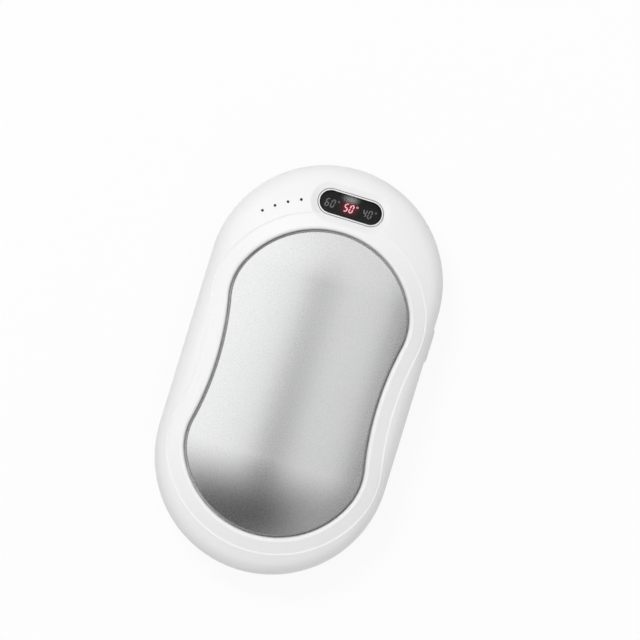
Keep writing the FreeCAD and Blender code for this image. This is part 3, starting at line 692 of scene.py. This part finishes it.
dress(smokedWindow(windowFinish), "display_window")
dress(lightBox(boxFinish), "display_module")
dress(litFigures(figureFinish), "lit_segments")
dress(unlitFigures(figureFinish), "unlit_segments")
print("case and display dressed")


# Light guide, socket and the pieces inside: the colour, roughness, metal and scale of grain of each

innerGrain = {"tone": 0.08, "swing": 0.12, "bump": 0.15, "depth": 0.00003}
innerFinishes = {
    "darkGuide": ((0.006, 0.006, 0.009), 0.6, 0.0, 4000.0, "battery_light_guide"),
    "foamTape": ((0.05, 0.05, 0.05), 0.8, 0.0, 2500.0, "front_plate_adhesive", "rear_plate_adhesive"),
    "amberFilm": ((0.62, 0.33, 0.08), 0.35, 0.0, 900.0, "front_heater_film", "rear_heater_film"),
    "paleFoam": ((0.85, 0.85, 0.83), 0.9, 0.0, 1200.0, "front_insulation_pad", "rear_insulation_pad"),
    "cellSleeve": ((0.12, 0.32, 0.55), 0.4, 0.0, 800.0, "left_cell", "right_cell"),
    "nickelStrip": ((0.72, 0.7, 0.66), 0.3, 1.0, 3000.0, "top_cell_strap", "bottom_cell_strap"),
    "cradleMoulding": ((0.1, 0.1, 0.11), 0.5, 0.0, 2500.0, "battery_cradle"),
    "boardMask": ((0.04, 0.22, 0.1), 0.4, 0.0, 1800.0, "main_board"),
    "chipMoulding": ((0.05, 0.05, 0.05), 0.5, 0.0, 4000.0, "charge_controller"),
    "ferrite": ((0.17, 0.17, 0.18), 0.6, 0.0, 3000.0, "power_inductor"),
    "ceramic": ((0.55, 0.44, 0.3), 0.5, 0.0, 4000.0, "board_capacitors"),
    "socketSteel": ((0.68, 0.68, 0.68), 0.25, 1.0, 3500.0, "charge_port"),
    "tongueMoulding": ((0.04, 0.04, 0.04), 0.45, 0.0, 3500.0, "charge_port_tongue"),
    "lampLens": ((0.85, 0.82, 0.55), 0.3, 0.0, 4000.0, "battery_leds"),
    "switchMoulding": ((0.07, 0.07, 0.07), 0.5, 0.0, 3000.0, "switch_body"),
    "plungerMoulding": ((0.75, 0.72, 0.65), 0.45, 0.0, 3000.0, "switch_plunger"),
    "screwSteel": ((0.55, 0.55, 0.56), 0.35, 1.0, 3000.0, "case_screws"),
    "whiteLead": ((0.8, 0.8, 0.78), 0.5, 0.0, 2000.0, "front_heater_leads", "rear_heater_leads"),
    "redLead": ((0.6, 0.04, 0.03), 0.5, 0.0, 2000.0, "positive_lead"),
    "blackLead": ((0.03, 0.03, 0.03), 0.5, 0.0, 2000.0, "negative_lead", "heat_sensor"),
}
for name, (colour, roughness, metallic, scale, *pieces) in innerFinishes.items():
    finish = dict(innerGrain, colour=colour, roughness=roughness, metallic=metallic, scale=scale)
    dress(grainFinish(name, finish), *pieces)
print("inside dressed")


# Contacts moulded into both faces of the tongue in the charging socket

portContacts = {
    "count": 12,            # on each face
    "pitch": 0.0005,
    "width": 0.00027,
    "length": 0.0034,
    "thickness": 0.00014,
    "proud": 0.00005,       # above the face of the tongue
    "fromNose": 0.0005,
    "leadIn": 0.00008,      # rounding at the end that the plug meets first
    "leadInSteps": 4,
    "softEdge": 0.00002,
    "softSteps": 2,
    "smoothAngle": 30.0,    # degrees
}
contactFinish = {
    "colour": (0.83, 0.68, 0.38),
    "tone": 0.06,
    "scale": 5000.0,
    "roughness": 0.25,
    "swing": 0.12,
    "bump": 0.1,
    "depth": 0.00001,
    "metallic": 1.0,
}


def selectEdges(piece, chosen):
    bpy.ops.object.mode_set(mode="EDIT")
    bpy.ops.mesh.select_mode(type="EDGE")
    bpy.ops.mesh.select_all(action="DESELECT")
    bpy.ops.object.mode_set(mode="OBJECT")
    points = piece.data.vertices
    for edge in piece.data.edges:
        edge.select = chosen(*(points[index].co for index in edge.vertices))
    bpy.ops.object.mode_set(mode="EDIT")


def buildContacts(settings):
    low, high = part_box("charge_port_tongue")
    size = Vector((settings["width"], settings["length"], settings["thickness"]))
    top = high.z + settings["proud"]
    nose = high.y - settings["fromNose"]
    first = -settings["pitch"] * (settings["count"] - 1) / 2
    near = settings["softEdge"] / 2

    def isLeadIn(a, b):
        return min(a.z, b.z) > top - near and min(a.y, b.y) > nose - near

    def isLongEdge(a, b):
        return min(a.z, b.z) > top - near and max(a.y, b.y) < nose - near and abs(a.x - b.x) < near

    bpy.ops.object.select_all(action="DESELECT")
    bpy.ops.mesh.primitive_cube_add(size=1, location=(first, nose - size.y / 2, top - size.z / 2))
    strip = bpy.context.object
    strip.scale = size
    bpy.ops.object.transform_apply(location=True, scale=True)
    selectEdges(strip, isLeadIn)
    bpy.ops.mesh.bevel(offset=settings["leadIn"], segments=settings["leadInSteps"], affect="EDGES")
    selectEdges(strip, isLongEdge)
    bpy.ops.mesh.bevel(offset=settings["softEdge"], segments=settings["softSteps"], affect="EDGES")
    bpy.ops.object.mode_set(mode="OBJECT")
    strips = [strip]
    for step in range(1, settings["count"]):
        bpy.ops.object.select_all(action="DESELECT")
        strip.select_set(True)
        bpy.context.view_layer.objects.active = strip
        bpy.ops.object.duplicate()
        bpy.ops.transform.translate(value=(settings["pitch"] * step, 0, 0))
        bpy.ops.object.transform_apply(location=True)
        strips.append(bpy.context.object)
    for piece in strips:
        piece.select_set(True)
    bpy.ops.object.duplicate()
    bpy.ops.transform.rotate(value=math.pi, orient_axis="Y", center_override=(low + high) / 2)
    for piece in strips:
        piece.select_set(True)
    bpy.context.view_layer.objects.active = strip
    bpy.ops.object.transform_apply(location=True, rotation=True)
    bpy.ops.object.join()
    bpy.ops.object.shade_smooth_by_angle(angle=math.radians(settings["smoothAngle"]))
    strip.name = "charge_port_contacts"
    bpy.ops.object.select_all(action="DESELECT")
    return strip


contacts = buildContacts(portContacts)
contacts.data.materials.append(grainFinish("platedContact", contactFinish))
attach(contacts, "case")
print("contacts made")
